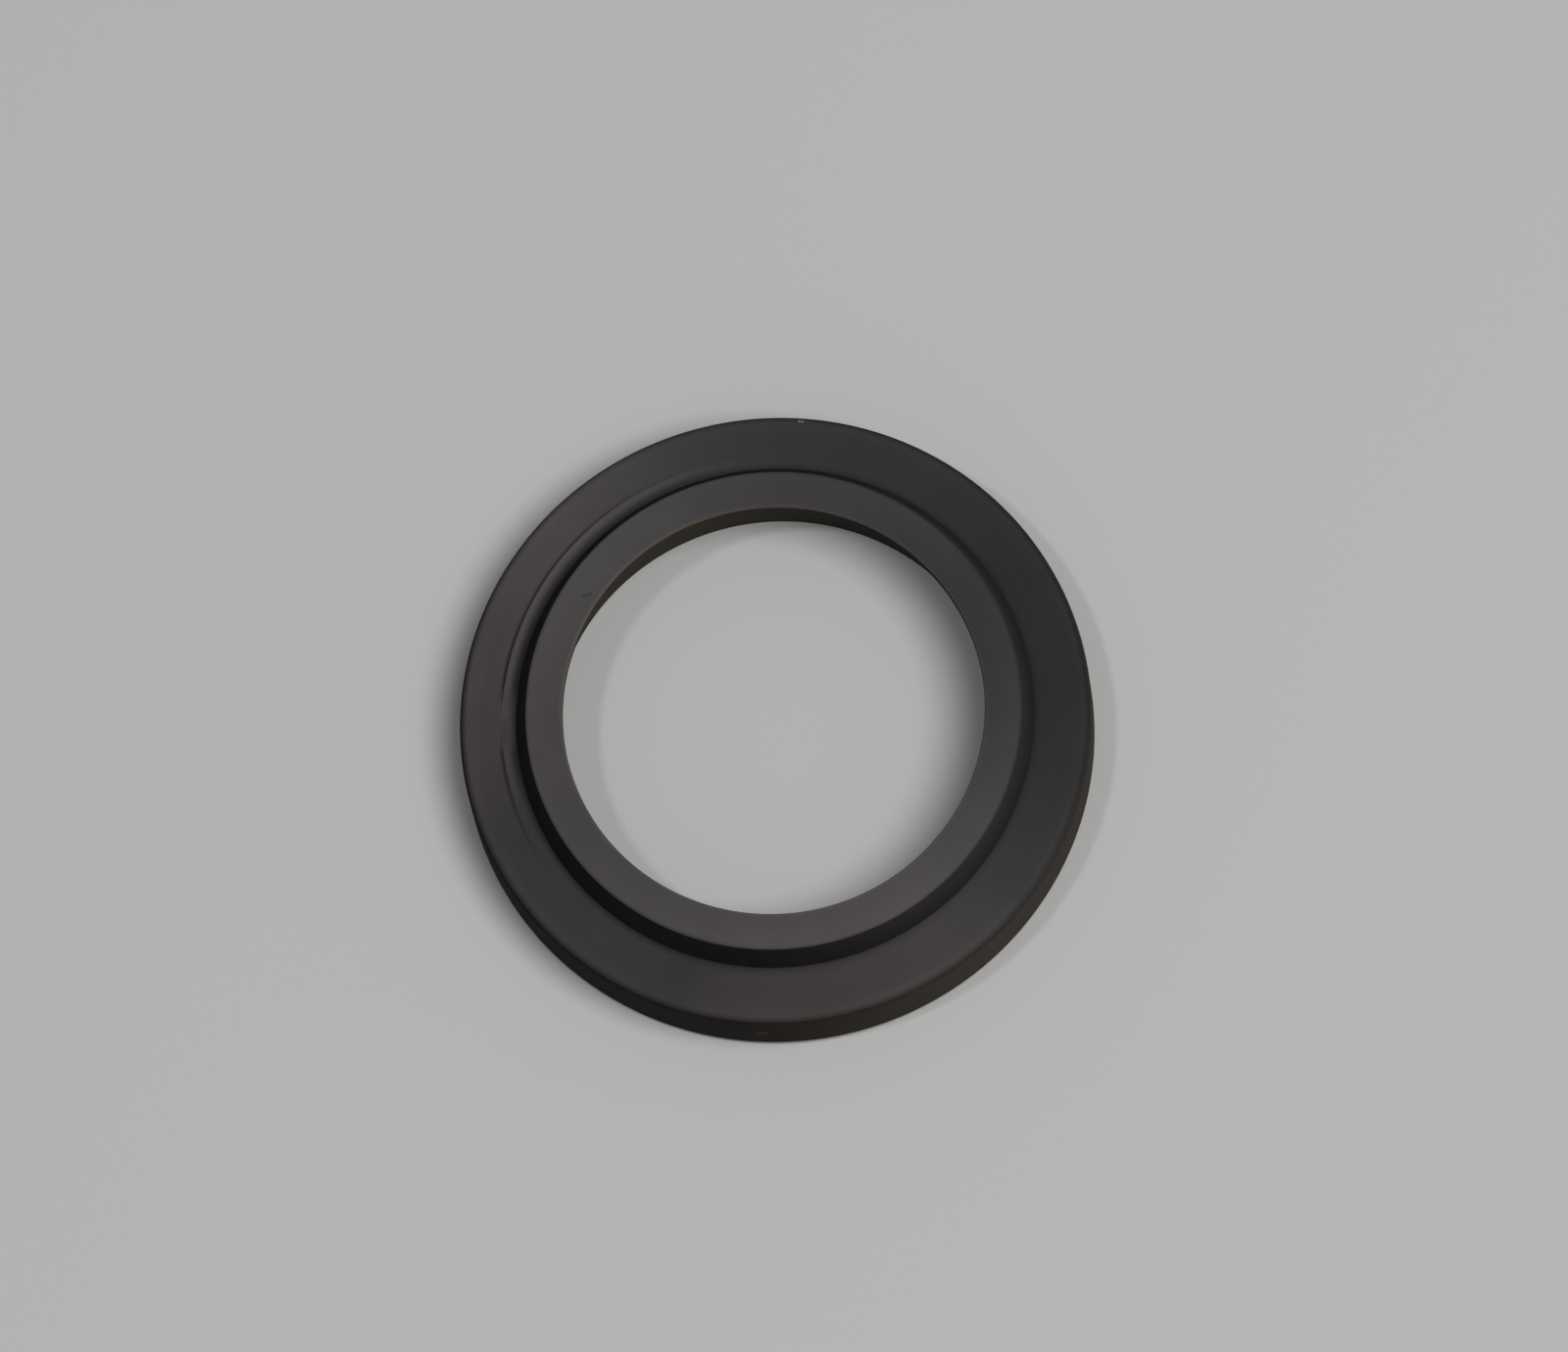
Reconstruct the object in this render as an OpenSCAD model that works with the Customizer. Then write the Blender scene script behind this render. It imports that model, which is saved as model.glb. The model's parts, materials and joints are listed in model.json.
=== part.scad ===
// Rod wiper seal: one moulded rubber ring, drawn lip up on its flat base.
// The origin is on the ring's axis, in the plane of the base, with +Z out through the lip.

/* [Rod and housing] */
// Diameter of the straight land that wipes the rod
rod_d = 30; // [20:0.5:34]
// Diameter of the outer wall that seats in the housing
housing_d = 45; // [42:0.5:70]

/* [Body] */
// Height of the body, from the base up to the shoulder
body_h = 5.6; // [3.5:0.1:15]
// Radius of the edge between the outer wall and the shoulder
shoulder_edge_r = 0.8; // [0.1:0.05:1.5]
// Size of the lead-in chamfer round the base
base_chamfer = 0.65; // [0.2:0.05:2]
// Clearance to the rod, all round, where the flared bore meets the base
base_clearance = 1.25; // [0.3:0.05:2]

/* [Wiping lip] */
// Height that the lip stands above the shoulder
lip_rise = 2.2; // [1.2:0.1:6]
// Thickness of the lip at its face
lip_w = 2.6; // [1.5:0.1:3]
// Thickness of the lip at its root, where its tapered wall would meet the shoulder
lip_root_w = 3.5; // [3:0.1:4]
// Radius of the fillet between the lip's tapered wall and the shoulder
root_fillet_r = 0.4; // [0.1:0.05:0.8]
// Radius of the lip's outer edge
lip_edge_r = 0.3; // [0.05:0.05:0.8]
// Radius of the edge that wipes the rod
wiping_edge_r = 0.2; // [0.05:0.05:0.5]
// Length of the straight land under the wiping edge
land_h = 0.5; // [0.2:0.1:2]

/* [Hidden] */

// How far a cut runs past the faces that it opens
over = 1;
// Segments in a full turn
$fn = 180;

rod_r = rod_d / 2;
housing_r = housing_d / 2;
base_bore_r = rod_r + base_clearance;
total_h = body_h + lip_rise;
land_bottom = total_h - wiping_edge_r - land_h;

// The section lies in the XY plane, with X as the radius and Y as the height.
// The lip's wall runs from its corner at the face down to its corner at the shoulder.
lip_face_corner = [rod_r + lip_w, total_h];
lip_root_corner = [rod_r + lip_root_w, body_h];
up_lip_wall = (lip_face_corner - lip_root_corner) / norm(lip_face_corner - lip_root_corner);
out = [1, 0];
down = [0, -1];

// The ring's full width and height, with the flared bore and the lead-in chamfer
module blank() {
    polygon([
        [base_bore_r, 0],
        [housing_r - base_chamfer, 0],
        [housing_r, base_chamfer],
        [housing_r, total_h],
        [rod_r, total_h],
        [rod_r, land_bottom]
    ]);
}

// What lies between a sharp corner and an arc of radius r that meets both of its sides at a
// tangent. The sides leave the corner along the unit vectors a and b.
module corner_piece(corner, a, b, r) {
    half_angle = acos(a * b) / 2;
    to_tangent = r / tan(half_angle);
    to_centre = r / sin(half_angle) * (a + b) / norm(a + b);
    translate(corner)
        translate(to_centre)
            difference() {
                polygon((1 + over / r) * [
                    [0, 0],
                    to_tangent * a - to_centre,
                    -to_centre,
                    to_tangent * b - to_centre
                ]);
                circle(r);
            }
}

// The space over the shoulder, outside the lip's tapered wall and its root fillet
module over_shoulder() {
    top = lip_root_corner + 1.5 * (lip_face_corner - lip_root_corner);
    difference() {
        polygon([
            lip_root_corner,
            [housing_r + over, body_h],
            [housing_r + over, top.y],
            top
        ]);
        corner_piece(lip_root_corner, out, up_lip_wall, root_fillet_r);
    }
}

module section() {
    difference() {
        blank();
        over_shoulder();
        corner_piece([housing_r, body_h], -out, down, shoulder_edge_r);
        corner_piece(lip_face_corner, -out, -up_lip_wall, lip_edge_r);
        corner_piece([rod_r, total_h], out, down, wiping_edge_r);
    }
}

module wiper_seal() {
    color("#413e3d")
        rotate_extrude()
            section();
}

wiper_seal();
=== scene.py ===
import json
import math

import bmesh
import bpy
from mathutils import Matrix, Vector


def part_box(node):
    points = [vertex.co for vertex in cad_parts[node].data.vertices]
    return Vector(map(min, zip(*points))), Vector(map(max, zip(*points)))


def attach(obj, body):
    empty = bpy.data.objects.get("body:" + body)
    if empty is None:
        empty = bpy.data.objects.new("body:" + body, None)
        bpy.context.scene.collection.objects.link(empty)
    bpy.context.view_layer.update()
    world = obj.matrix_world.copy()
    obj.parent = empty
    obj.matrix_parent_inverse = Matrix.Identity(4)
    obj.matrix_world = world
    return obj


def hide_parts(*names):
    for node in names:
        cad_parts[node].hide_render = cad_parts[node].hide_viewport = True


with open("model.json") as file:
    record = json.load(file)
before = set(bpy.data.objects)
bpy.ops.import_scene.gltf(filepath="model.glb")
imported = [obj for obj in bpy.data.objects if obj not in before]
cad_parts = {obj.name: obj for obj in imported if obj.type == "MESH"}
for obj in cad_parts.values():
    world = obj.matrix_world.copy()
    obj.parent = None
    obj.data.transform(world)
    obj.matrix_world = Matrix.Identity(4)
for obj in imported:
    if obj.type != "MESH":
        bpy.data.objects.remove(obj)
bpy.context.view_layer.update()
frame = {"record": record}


# ---------------------------------------------------------------------------
# Wiper seal: one ring of black nitrile rubber, compression moulded in a turned steel mould.
# It lies on its flat base with the wiping lip upwards. The rubber carries a trace of the mould's
# parting line on the shoulder, and a thin film of bloomed wax.
# ---------------------------------------------------------------------------

MM = 0.001

seal_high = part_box("wiper_seal")[1]
mounts = {mount["name"]: mount for mount in frame["record"]["mounts"]}

rod_r = mounts["rod_bore"]["dims"]["r_mm"] * MM
land_length = mounts["rod_bore"]["dims"]["length_mm"] * MM
shoulder_top = mounts["shoulder"]["pos_m"][2]
outer_r = seal_high.x
lip_top = seal_high.z

base_clearance = 1.25 * MM
base_chamfer = 0.65 * MM
shoulder_edge_r = 0.8 * MM
lip_face_width = 2.6 * MM
lip_root_width = 3.5 * MM
lip_edge_r = 0.3 * MM
root_fillet_r = 0.4 * MM
wiping_edge_r = 0.2 * MM


def draw_to(section, r, z):
    """Extrudes the section's last point in a straight line to radius r and height z."""
    section.verts.ensure_lookup_table()
    tip = bmesh.ops.extrude_vert_indiv(section, verts=[section.verts[-1]])["verts"][0]
    tip.co = (r, 0, z)


def draw_round_corner(section, corner, following, radius, steps):
    """Draws towards a corner and round it, with an arc at a tangent to both of its sides."""
    section.verts.ensure_lookup_table()
    corner = Vector((corner[0], 0, corner[1]))
    arriving = (corner - section.verts[-1].co).normalized()
    leaving = (Vector((following[0], 0, following[1])) - corner).normalized()
    turn = math.atan2(arriving.cross(leaving).y, arriving.dot(leaving))
    start = corner - arriving * radius * math.tan(abs(turn) / 2)
    centre = start + Vector((arriving.z, 0, -arriving.x)) * math.copysign(radius, turn)
    draw_to(section, start.x, start.z)
    section.verts.ensure_lookup_table()
    bmesh.ops.spin(
        section,
        geom=[section.verts[-1]],
        cent=centre,
        axis=(0, 1, 0),
        angle=turn,
        steps=steps,
    )


# The section's corners, in the order that they are drawn, as radius and height.
base_bore_corner = (rod_r + base_clearance, 0)
land_corner = (rod_r, lip_top - wiping_edge_r - land_length)
wiping_corner = (rod_r, lip_top)
lip_face_corner = (rod_r + lip_face_width, lip_top)
lip_root_corner = (rod_r + lip_root_width, shoulder_top)
shoulder_corner = (outer_r, shoulder_top)
chamfer_corner = (outer_r, base_chamfer)
foot_corner = (outer_r - base_chamfer, 0)

# Two parts of the mould met on the shoulder. The inner one was set a little deep on one side, so
# the rubber rises gently to the parting line there and drops sharply outside it. A knock has
# smoothed the line away in one place. Azimuths and half angles are in degrees.
parting_r = 19.45 * MM
parting_height = 0.15 * MM
parting_azimuth = 142
parting_half_angle = 75
rise_width = 0.65 * MM
rise_steps = 9
drop_width = 0.12 * MM
drop_steps = 5
knock_azimuth = 168.5
knock_half_angle = 5

same_place = 0.001 * MM
turn_steps = 360
sharpest_smooth_angle = math.radians(28)

ring = bmesh.new()
ring.verts.new((base_bore_corner[0], 0, base_bore_corner[1]))
draw_to(ring, *land_corner)
draw_round_corner(ring, wiping_corner, lip_face_corner, wiping_edge_r, steps=6)
draw_round_corner(ring, lip_face_corner, lip_root_corner, lip_edge_r, steps=8)
draw_round_corner(ring, lip_root_corner, shoulder_corner, root_fillet_r, steps=10)
for step in range(rise_steps - 1, 0, -1):
    draw_to(ring, parting_r - rise_width * step / rise_steps, shoulder_top)
for step in range(drop_steps + 1):
    draw_to(ring, parting_r + drop_width * step / drop_steps, shoulder_top)
draw_round_corner(ring, shoulder_corner, chamfer_corner, shoulder_edge_r, steps=12)
draw_to(ring, *chamfer_corner)
draw_to(ring, *foot_corner)
ring.verts.ensure_lookup_table()
ring.edges.new((ring.verts[-1], ring.verts[0]))
bmesh.ops.spin(
    ring,
    geom=ring.verts[:] + ring.edges[:],
    cent=(0, 0, 0),
    axis=(0, 0, 1),
    angle=2 * math.pi,
    steps=turn_steps,
    use_merge=True,
)
bmesh.ops.remove_doubles(ring, verts=ring.verts, dist=same_place)
bmesh.ops.recalc_face_normals(ring, faces=ring.faces)

for vert in ring.verts:
    outwards = vert.co.xy.length - parting_r
    across = outwards / (drop_width if outwards > 0 else rise_width)
    azimuth = math.degrees(math.atan2(vert.co.y, vert.co.x))
    along = math.remainder(azimuth - parting_azimuth, 360) / parting_half_angle
    knock = math.remainder(azimuth - knock_azimuth, 360) / knock_half_angle
    if abs(across) < 1 and abs(along) < 1 and abs(vert.co.z - shoulder_top) < same_place:
        fade = 0.5 + 0.5 * math.cos(math.pi * along)
        left_by_knock = 0.5 - 0.5 * math.cos(math.pi * min(1, abs(knock)))
        rise = 0.5 + 0.5 * math.cos(math.pi * across)
        vert.co.z += parting_height * fade * left_by_knock * rise

seal_mesh = bpy.data.meshes.new("wiper_seal_moulding")
ring.to_mesh(seal_mesh)
ring.free()
for face in seal_mesh.polygons:
    face.use_smooth = True
seal_mesh.set_sharp_from_angle(angle=sharpest_smooth_angle)
seal = bpy.data.objects.new("wiper_seal_moulding", seal_mesh)
bpy.context.scene.collection.objects.link(seal)
weighted = seal.modifiers.new("flat faces stay flat", "WEIGHTED_NORMAL")
weighted.keep_sharp = True
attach(seal, "root")
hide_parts("wiper_seal")


def linear(hex_colour):
    """An sRGB hex colour as the linear colour that a socket takes."""
    channels = [int(hex_colour[i : i + 2], 16) / 255 for i in (1, 3, 5)]
    curve = [c / 12.92 if c <= 0.04045 else ((c + 0.055) / 1.055) ** 2.4 for c in channels]
    return (*curve, 1)


def add_node(tree, kind, settings, inputs):
    """Adds a node with its settings, and sets each input to a value or links a socket to it."""
    node = tree.nodes.new(kind)
    for name, value in settings.items():
        setattr(node, name, value)
    for name, value in inputs.items():
        if isinstance(value, bpy.types.NodeSocket):
            tree.links.new(value, node.inputs[name])
        else:
            node.inputs[name].default_value = value
    return node


def start_rubber(name):
    """A new material with the position, the level direction from the axis, and the radius."""
    material = bpy.data.materials.new(name)
    material.use_nodes = True
    seal_mesh.materials.append(material)
    tree = material.node_tree
    tree.nodes.clear()
    place = add_node(tree, "ShaderNodeTexCoord", {}, {}).outputs["Object"]
    level = add_node(
        tree,
        "ShaderNodeVectorMath",
        {"operation": "MULTIPLY"},
        {0: place, 1: (1, 1, 0)},
    ).outputs["Vector"]
    direction = add_node(
        tree,
        "ShaderNodeVectorMath",
        {"operation": "NORMALIZE"},
        {0: level},
    ).outputs["Vector"]
    radius = add_node(
        tree,
        "ShaderNodeVectorMath",
        {"operation": "LENGTH"},
        {0: level},
    ).outputs["Value"]
    return tree, place, direction, radius


def add_bands(tree, distance, full, bands):
    """Bands along a distance: each is a place in mm, with a share or a hex colour there."""
    along = add_node(tree, "ShaderNodeMath", {"operation": "DIVIDE"}, {0: distance, 1: full})
    ramp = add_node(tree, "ShaderNodeValToRGB", {}, {"Fac": along.outputs[0]})
    for number, (mm, tone) in enumerate(bands):
        if number < 2:
            stop = ramp.color_ramp.elements[number]
            stop.position = mm * MM / full
        else:
            stop = ramp.color_ramp.elements.new(mm * MM / full)
        stop.color = linear(tone) if isinstance(tone, str) else (tone, tone, tone, 1)
    return ramp.outputs["Color"]


def towards(azimuth):
    """The level unit vector that points at an azimuth in degrees."""
    return Vector((math.cos(math.radians(azimuth)), math.sin(math.radians(azimuth)), 0))


def add_side(tree, direction, azimuth, reach, full):
    """One side of the ring: 1 up to full degrees from an azimuth, 0 past reach degrees from it."""
    cosine = add_node(
        tree,
        "ShaderNodeVectorMath",
        {"operation": "DOT_PRODUCT"},
        {0: direction, 1: towards(azimuth)},
    )
    return add_node(
        tree,
        "ShaderNodeMapRange",
        {"interpolation_type": "SMOOTHSTEP"},
        {
            "Value": cosine.outputs["Value"],
            "From Min": math.cos(math.radians(reach)),
            "From Max": math.cos(math.radians(full)),
        },
    ).outputs["Result"]


def add_clouds(tree, vector, scale, low, high):
    """Soft clouds, from a low value to a high one."""
    noise = add_node(
        tree,
        "ShaderNodeTexNoise",
        {},
        {"Vector": vector, "Scale": scale, "Detail": 3, "Roughness": 0.5},
    )
    return add_node(
        tree,
        "ShaderNodeMapRange",
        {},
        {
            "Value": noise.outputs["Fac"],
            "From Min": 0.3,
            "From Max": 0.7,
            "To Min": low,
            "To Max": high,
        },
    ).outputs["Result"]


def add_mark(tree, place, colour, mark_colour, size, radius, azimuth, height):
    """Lays a small soft mark over a colour, with sizes in mm and the azimuth in degrees."""
    away = add_node(
        tree,
        "ShaderNodeVectorMath",
        {"operation": "DISTANCE"},
        {0: place, 1: (radius * towards(azimuth) + Vector((0, 0, height))) * MM},
    )
    share = add_node(
        tree,
        "ShaderNodeMapRange",
        {"interpolation_type": "SMOOTHSTEP"},
        {
            "Value": away.outputs["Value"],
            "From Min": size / 2 * MM,
            "From Max": size / 8 * MM,
        },
    )
    return add_node(
        tree,
        "ShaderNodeMix",
        {"data_type": "RGBA"},
        {0: share.outputs["Result"], 6: colour, 7: linear(mark_colour)},
    ).outputs[2]


def finish_rubber(tree, colour, relief, roughness, specular):
    """Adds the rubber's shader, with the grain that the turned mould left round the ring."""
    grain = add_node(tree, "ShaderNodeTangent", {"direction_type": "RADIAL", "axis": "Z"}, {})
    bump = add_node(
        tree,
        "ShaderNodeBump",
        {},
        {"Height": relief, "Strength": 1, "Distance": 0.01 * MM},
    )
    surface = add_node(
        tree,
        "ShaderNodeBsdfPrincipled",
        {},
        {
            "Base Color": colour,
            "Roughness": roughness,
            "IOR": 1.4,
            "Specular IOR Level": specular,
            "Anisotropic": 0.86,
            "Anisotropic Rotation": 0.25,
            "Normal": bump.outputs["Normal"],
            "Tangent": grain.outputs["Tangent"],
        },
    )
    add_node(tree, "ShaderNodeOutputMaterial", {}, {"Surface": surface.outputs["BSDF"]})


# Nitrile rubber on the lip's face and the shoulder: black, with a satin sheen across the grain.
# A thin pale film of wax has bloomed on it. The bands give the film's share at places in mm from
# the axis: thick on the lip, with a painted highlight on the wiping edge, painted shade in the
# root's corner, and painted shade on the shoulder's rounded edge. By the parting line the corner
# has more painted shade and the rise a painted highlight; on the drop the share falls to a fifth,
# as painted shade.
tree, place, direction, radius = start_rubber("moulded nitrile rubber")
lip_film_and_edge_highlight = [(15.05, 0.9), (15.25, 0.57), (17.4, 0.66), (17.7, 0.33)]
root_corner_painted_shade = [(18.4, 0.12), (18.95, 0.34)]
rise_painted_shade_and_highlight = [(18.4, 0.03), (18.75, 0.05), (19.2, 0.47), (19.35, 0.46), (19.5, 0.34)]
shoulder_film_and_edge_shade = [(21.2, 0.34), (22.0, 0.4), (22.3, 0.1)]
drop_painted_shade_bands = [(19.4, 1), (19.5, 0.2), (19.62, 0.2), (19.75, 1)]

plain = add_bands(tree, radius, outer_r, lip_film_and_edge_highlight + root_corner_painted_shade + shoulder_film_and_edge_shade)
rise = add_bands(tree, radius, outer_r, lip_film_and_edge_highlight + rise_painted_shade_and_highlight + shoulder_film_and_edge_shade)
drop = add_bands(tree, radius, outer_r, drop_painted_shade_bands)

knocked = add_side(tree, direction, knock_azimuth, reach=8, full=2)
along_rise = add_side(tree, direction, azimuth=138, reach=57, full=25)
along_drop = add_side(tree, direction, azimuth=151, reach=54, full=20)
on_rise = add_node(
    tree,
    "ShaderNodeMath",
    {"operation": "SUBTRACT", "use_clamp": True},
    {0: along_rise, 1: knocked},
)
on_drop = add_node(
    tree,
    "ShaderNodeMath",
    {"operation": "SUBTRACT", "use_clamp": True},
    {0: along_drop, 1: knocked},
)
with_rise = add_node(
    tree,
    "ShaderNodeMix",
    {"data_type": "FLOAT"},
    {0: on_rise.outputs[0], 2: plain, 3: rise},
)
# Painted shade on the drop: the share falls to a fifth there.
drop_painted_shade = add_node(
    tree,
    "ShaderNodeMix",
    {"data_type": "FLOAT"},
    {0: on_drop.outputs[0], 2: 1, 3: drop},
)
by_radius = add_node(
    tree,
    "ShaderNodeMath",
    {"operation": "MULTIPLY", "use_clamp": True},
    {0: with_rise.outputs[0], 1: drop_painted_shade.outputs[0]},
)

# The colour is paler on one side of the ring: the film's share is about 30 percent higher there
# and as much lower on the other side. The paler side is at one azimuth on the shoulder and at
# another on the lip.
on_lip = add_bands(tree, radius, outer_r, [(17.45, 1), (17.7, 0)])
paler_side = add_node(
    tree,
    "ShaderNodeMix",
    {"data_type": "VECTOR"},
    {0: on_lip, 4: towards(165), 5: 1.1 * towards(225)},
)
side = add_node(
    tree,
    "ShaderNodeVectorMath",
    {"operation": "DOT_PRODUCT"},
    {0: direction, 1: paler_side.outputs[1]},
)
by_side = add_node(
    tree,
    "ShaderNodeMapRange",
    {},
    {
        "Value": side.outputs["Value"],
        "From Min": -1.2,
        "From Max": 1.2,
        "To Min": 0.65,
        "To Max": 1.35,
    },
)
sided_film = add_node(
    tree,
    "ShaderNodeMath",
    {"operation": "MULTIPLY", "use_clamp": True},
    {0: by_radius.outputs[0], 1: by_side.outputs["Result"]},
)

# The lip is a little paler on its far side: the film's share is a little higher there.
far_side = add_side(tree, direction, azimuth=70, reach=46, full=10)
far_side_of_lip = add_node(
    tree,
    "ShaderNodeMath",
    {"operation": "MULTIPLY", "use_clamp": True},
    {0: far_side, 1: on_lip},
)
far_lip_extra = add_node(
    tree,
    "ShaderNodeMath",
    {"operation": "MULTIPLY", "use_clamp": True},
    {0: far_side_of_lip.outputs[0], 1: 0.09},
)
even_film = add_node(
    tree,
    "ShaderNodeMath",
    {"operation": "ADD", "use_clamp": True},
    {0: sided_film.outputs[0], 1: far_lip_extra.outputs[0]},
)

# The film is cloudy, with 240 patches to the metre, so that each is about 4 mm across. It is also
# streaked round the ring: the streaks' noise runs slowly round it, and outwards at one streak in
# 0.4 mm.
streak_spacing = 0.4 * MM
clouds = add_clouds(tree, place, scale=240, low=0.93, high=1.07)
slowly_round = add_node(
    tree,
    "ShaderNodeVectorMath",
    {"operation": "SCALE"},
    {0: direction, "Scale": 1.6},
)
outwards = add_node(
    tree,
    "ShaderNodeMath",
    {"operation": "MULTIPLY"},
    {0: radius, 1: 1 / streak_spacing},
)
outwards_only = add_node(tree, "ShaderNodeCombineXYZ", {}, {"Z": outwards.outputs[0]})
streak_place = add_node(
    tree,
    "ShaderNodeVectorMath",
    {"operation": "ADD"},
    {0: slowly_round.outputs["Vector"], 1: outwards_only.outputs["Vector"]},
)
streaks = add_clouds(tree, streak_place.outputs["Vector"], scale=1, low=0.93, high=1.05)
streaked_film = add_node(
    tree,
    "ShaderNodeMath",
    {"operation": "MULTIPLY", "use_clamp": True},
    {0: even_film.outputs[0], 1: streaks},
)
film = add_node(
    tree,
    "ShaderNodeMath",
    {"operation": "MULTIPLY", "use_clamp": True},
    {0: streaked_film.outputs[0], 1: clouds},
)

# Two wide patches of the film are warmer and paler, less so on the lip: a warm tone in the film,
# and painted sheen where the highlight fans fall.
left_patch = add_node(
    tree,
    "ShaderNodeMath",
    {"operation": "MULTIPLY", "use_clamp": True},
    {0: add_side(tree, direction, azimuth=146, reach=50, full=15), 1: 0.7},
)
near_patch = add_side(tree, direction, azimuth=275, reach=37, full=10)
both_patches = add_node(
    tree,
    "ShaderNodeMath",
    {"operation": "MAXIMUM", "use_clamp": True},
    {0: left_patch.outputs[0], 1: near_patch},
)
warm_tone_and_sheen = add_node(
    tree,
    "ShaderNodeMath",
    {"operation": "MULTIPLY", "use_clamp": True},
    {
        0: both_patches.outputs[0],
        1: add_bands(tree, radius, outer_r, [(17.45, 0.3), (17.7, 1)]),
    },
)
film_colour = add_node(
    tree,
    "ShaderNodeMix",
    {"data_type": "RGBA"},
    {0: warm_tone_and_sheen.outputs[0], 6: linear("#4a4647"), 7: linear("#5e5553")},
)
colour = add_node(
    tree,
    "ShaderNodeMix",
    {"data_type": "RGBA"},
    {0: film.outputs[0], 6: linear("#0a0a0a"), 7: film_colour.outputs[2]},
).outputs[2]

# A short dark smudge on the lip, and a small painted highlight on the shoulder's edge, the glint
# of a nick.
for r, azimuth in ((15.72, 134.8), (15.85, 135.5), (15.98, 136.2)):
    colour = add_mark(
        tree, place, colour, "#2e2c2c", size=0.5, radius=r, azimuth=azimuth, height=lip_top / MM
    )
for azimuth in (73.7, 74.3):
    colour = add_mark(
        tree, place, colour, "#8c8c8c", size=0.25, radius=22.1, azimuth=azimuth, height=5.48
    )
finish_rubber(tree, colour, streaks, roughness=0.65, specular=0.5)

# The same rubber on the lip's wall, the outer wall, the bore and the base: dead matt and
# browner, with painted shade on the lip's wall and at its root, and a painted lit side. The bands
# give the colours of clean and of filmed rubber, from the bore past the lip's wall to the outer
# wall.
tree, place, direction, radius = start_rubber("moulded nitrile rubber, matt walls")
clean_with_painted_shade = add_bands(
    tree,
    radius,
    outer_r,
    [(15.0, "#1a1713"), (17.0, "#100f0e"), (19.0, "#100f0e"), (20.0, "#1f1b17")],
)
filmed_with_painted_light = add_bands(
    tree,
    radius,
    outer_r,
    [(15.0, "#3e382e"), (17.6, "#312f2e"), (18.45, "#232221"), (20.0, "#413a34")],
)
in_bore = add_bands(tree, radius, outer_r, [(16.6, 1), (16.8, 0)])
outside = add_bands(tree, radius, outer_r, [(19.5, 0), (20.0, 1)])
height = add_node(tree, "ShaderNodeSeparateXYZ", {}, {"Vector": place}).outputs["Z"]

# A painted highlight: the film's colour is palest on the wiping edge, at the top of the bore.
wiping_edge_highlight = add_node(
    tree,
    "ShaderNodeMath",
    {"operation": "MULTIPLY", "use_clamp": True},
    {0: in_bore, 1: add_bands(tree, height, lip_top, [(7.55, 0), (7.7, 1)])},
)
filmed_with_painted_light = add_node(
    tree,
    "ShaderNodeMix",
    {"data_type": "RGBA"},
    {0: wiping_edge_highlight.outputs[0], 6: filmed_with_painted_light, 7: linear("#6a625a")},
).outputs[2]

# The lip's wall, the bore and the outer wall each have a painted lit side, where the film's share
# is higher, and clouds that are about 2 mm across.
bore_or_lip_lit_side = add_node(
    tree,
    "ShaderNodeMix",
    {"data_type": "FLOAT"},
    {
        0: in_bore,
        2: add_side(tree, direction, azimuth=350, reach=100, full=15),
        3: add_side(tree, direction, azimuth=130, reach=88, full=15),
    },
)
painted_lit_side = add_node(
    tree,
    "ShaderNodeMix",
    {"data_type": "FLOAT"},
    {
        0: outside,
        2: bore_or_lip_lit_side.outputs[0],
        3: add_side(tree, direction, azimuth=337, reach=90, full=12),
    },
)
clouds = add_clouds(tree, place, scale=480, low=0, high=0.12)
# The film's share here is the painted lit side plus the clouds.
film = add_node(
    tree,
    "ShaderNodeMath",
    {"operation": "ADD", "use_clamp": True},
    {0: painted_lit_side.outputs[0], 1: clouds},
)
colour = add_node(
    tree,
    "ShaderNodeMix",
    {"data_type": "RGBA"},
    {0: film.outputs[0], 6: clean_with_painted_shade, 7: filmed_with_painted_light},
).outputs[2]

# The shoulder's rounded edge has painted shade, and a short scuff runs along the wall.
edge_painted_shade = add_node(
    tree,
    "ShaderNodeMath",
    {"operation": "MULTIPLY", "use_clamp": True},
    {0: outside, 1: add_bands(tree, height, lip_top, [(4.7, 0), (5.2, 0.45)])},
)
colour = add_node(
    tree,
    "ShaderNodeMix",
    {"data_type": "RGBA"},
    {0: edge_painted_shade.outputs[0], 6: colour, 7: linear("#0c0b0b")},
).outputs[2]
for azimuth in (255.3, 256.0, 256.7):
    colour = add_mark(
        tree, place, colour, "#4a4643", size=0.5, radius=outer_r / MM, azimuth=azimuth, height=3
    )
finish_rubber(tree, colour, clouds, roughness=0.95, specular=0.15)

# Faces that look up, to within about 53 degrees, are lip and shoulder. The rest are walls.
least_upward = 0.6
for face in seal_mesh.polygons:
    if face.normal.z < least_upward:
        face.material_index = 1


# ---------------------------------------------------------------------------
# Work surface: a sheet of plain matt paper, under the seal.
# It is the floor of the picture and isn't part of the object.
# ---------------------------------------------------------------------------

floor_size = 6.0

sheet = bmesh.new()
bmesh.ops.create_grid(sheet, x_segments=1, y_segments=1, size=floor_size / 2)
floor_mesh = bpy.data.meshes.new("work_surface")
sheet.to_mesh(floor_mesh)
sheet.free()
floor = bpy.data.objects.new("work_surface", floor_mesh)
bpy.context.scene.collection.objects.link(floor)

paper = bpy.data.materials.new("matt paper")
paper.use_nodes = True
tree = paper.node_tree
tree.nodes.clear()
surface = add_node(
    tree,
    "ShaderNodeBsdfPrincipled",
    {},
    {"Base Color": linear("#b9b9b8"), "Roughness": 0.9, "Specular IOR Level": 0.2},
)
add_node(tree, "ShaderNodeOutputMaterial", {}, {"Surface": surface.outputs["BSDF"]})
floor_mesh.materials.append(paper)


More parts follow.
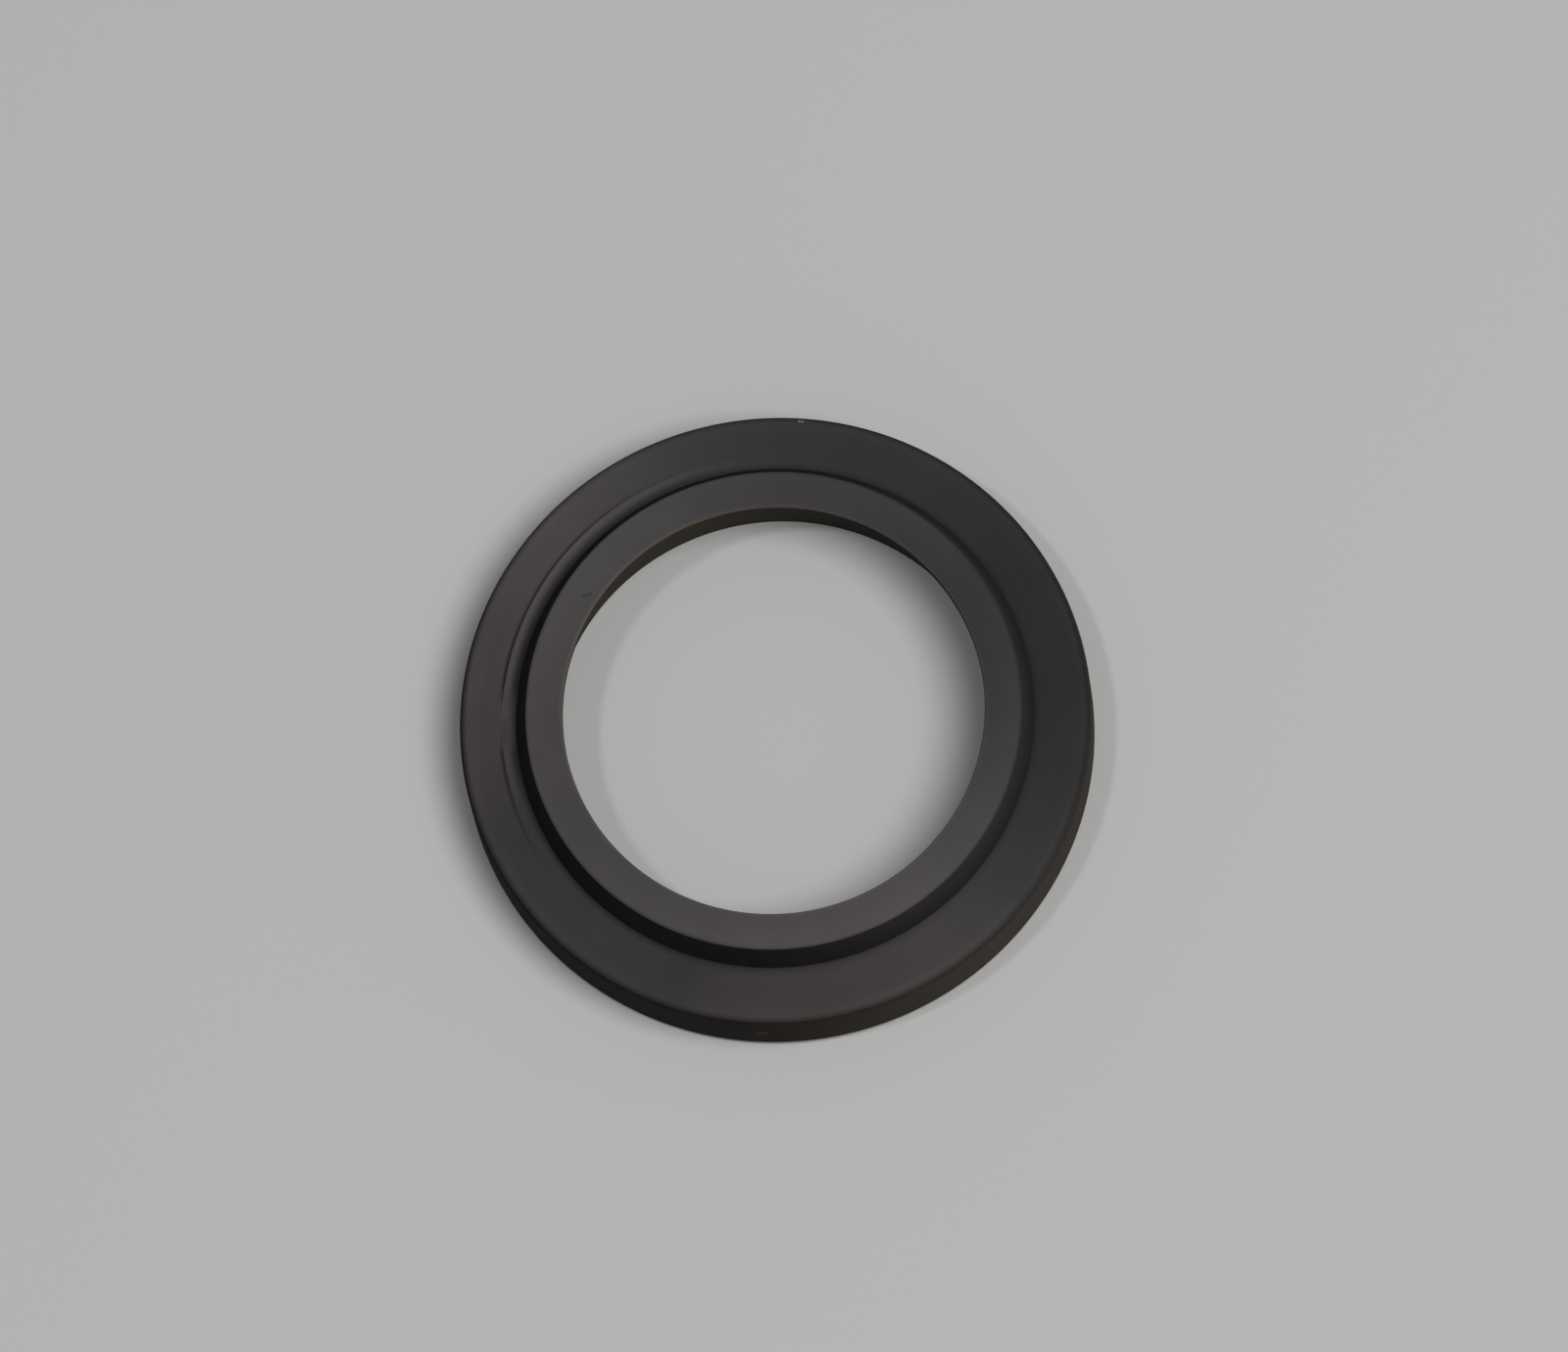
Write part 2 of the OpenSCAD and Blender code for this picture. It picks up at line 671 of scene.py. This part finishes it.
# ---------------------------------------------------------------------------
# Studio light: one large soft lamp on the right, a smaller one on the left, and a dim room.
# A lamp's level is its share of the light on the floor. The lamps give 0.66 and 0.14, and the
# room gives 0.18, so that a colour on the floor renders about as it is written.
# ---------------------------------------------------------------------------


def add_lamp(name, azimuth, elevation, distance, size, level):
    """A round lamp aimed at the seal, with the power that gives that level on the floor."""
    azimuth, elevation = math.radians(azimuth), math.radians(elevation)
    to_lamp = Vector(
        (
            math.cos(azimuth) * math.cos(elevation),
            math.sin(azimuth) * math.cos(elevation),
            math.sin(elevation),
        )
    )
    lamp = bpy.data.lights.new(name, "AREA")
    lamp.shape = "DISK"
    lamp.size = size
    lamp.energy = level * (math.pi * distance) ** 2 / math.sin(elevation)
    holder = bpy.data.objects.new(name, lamp)
    holder.location = to_lamp * distance
    holder.rotation_mode = "QUATERNION"
    holder.rotation_quaternion = to_lamp.to_track_quat("Z", "Y")
    holder.visible_camera = False
    bpy.context.scene.collection.objects.link(holder)


add_lamp("soft_lamp_right", azimuth=-36, elevation=68, distance=1.2, size=0.62, level=0.66)
add_lamp("small_lamp_left", azimuth=184, elevation=73, distance=1.2, size=0.10, level=0.14)

room = bpy.data.worlds.new("room")
bpy.context.scene.world = room
room.use_nodes = True
tree = room.node_tree
tree.nodes.clear()
ray = add_node(tree, "ShaderNodeLightPath", {}, {})
dim = add_node(tree, "ShaderNodeBackground", {}, {"Color": (1, 1, 1, 1), "Strength": 0.18})
seen = add_node(tree, "ShaderNodeBackground", {}, {"Color": linear("#b4b4b4"), "Strength": 1.0})
chosen = add_node(
    tree,
    "ShaderNodeMixShader",
    {},
    {"Fac": ray.outputs["Is Camera Ray"], 1: dim.outputs[0], 2: seen.outputs[0]},
)
add_node(tree, "ShaderNodeOutputWorld", {}, {"Surface": chosen.outputs["Shader"]})


# ---------------------------------------------------------------------------
# Camera: above the seal and a little in front of it, with a long lens.
# It is turned on its own axis, and the seal is a little left of the centre and below it.
# ---------------------------------------------------------------------------

camera_elevation = math.radians(73.5)
camera_roll = math.radians(11.7)
camera_distance = 1.39
seal_right_of_centre = -0.76 * MM
seal_above_centre = -2.38 * MM

backwards = Vector((0, -math.cos(camera_elevation), math.sin(camera_elevation)))
level_right = Vector((1, 0, 0))
level_up = backwards.cross(level_right)
right = level_right * math.cos(camera_roll) - level_up * math.sin(camera_roll)
up = level_up * math.cos(camera_roll) + level_right * math.sin(camera_roll)
aim = Vector((0, 0, lip_top)) - right * seal_right_of_centre - up * seal_above_centre

camera_data = bpy.data.cameras.new("camera")
camera_data.lens = 450
camera_data.sensor_width = 36
camera_data.clip_end = 10
camera = bpy.data.objects.new("camera", camera_data)
turned = Matrix((right, up, backwards)).transposed().to_4x4()
camera.matrix_world = Matrix.Translation(aim + backwards * camera_distance) @ turned
bpy.context.scene.collection.objects.link(camera)
bpy.context.scene.camera = camera
bpy.context.scene.view_settings.view_transform = "Standard"
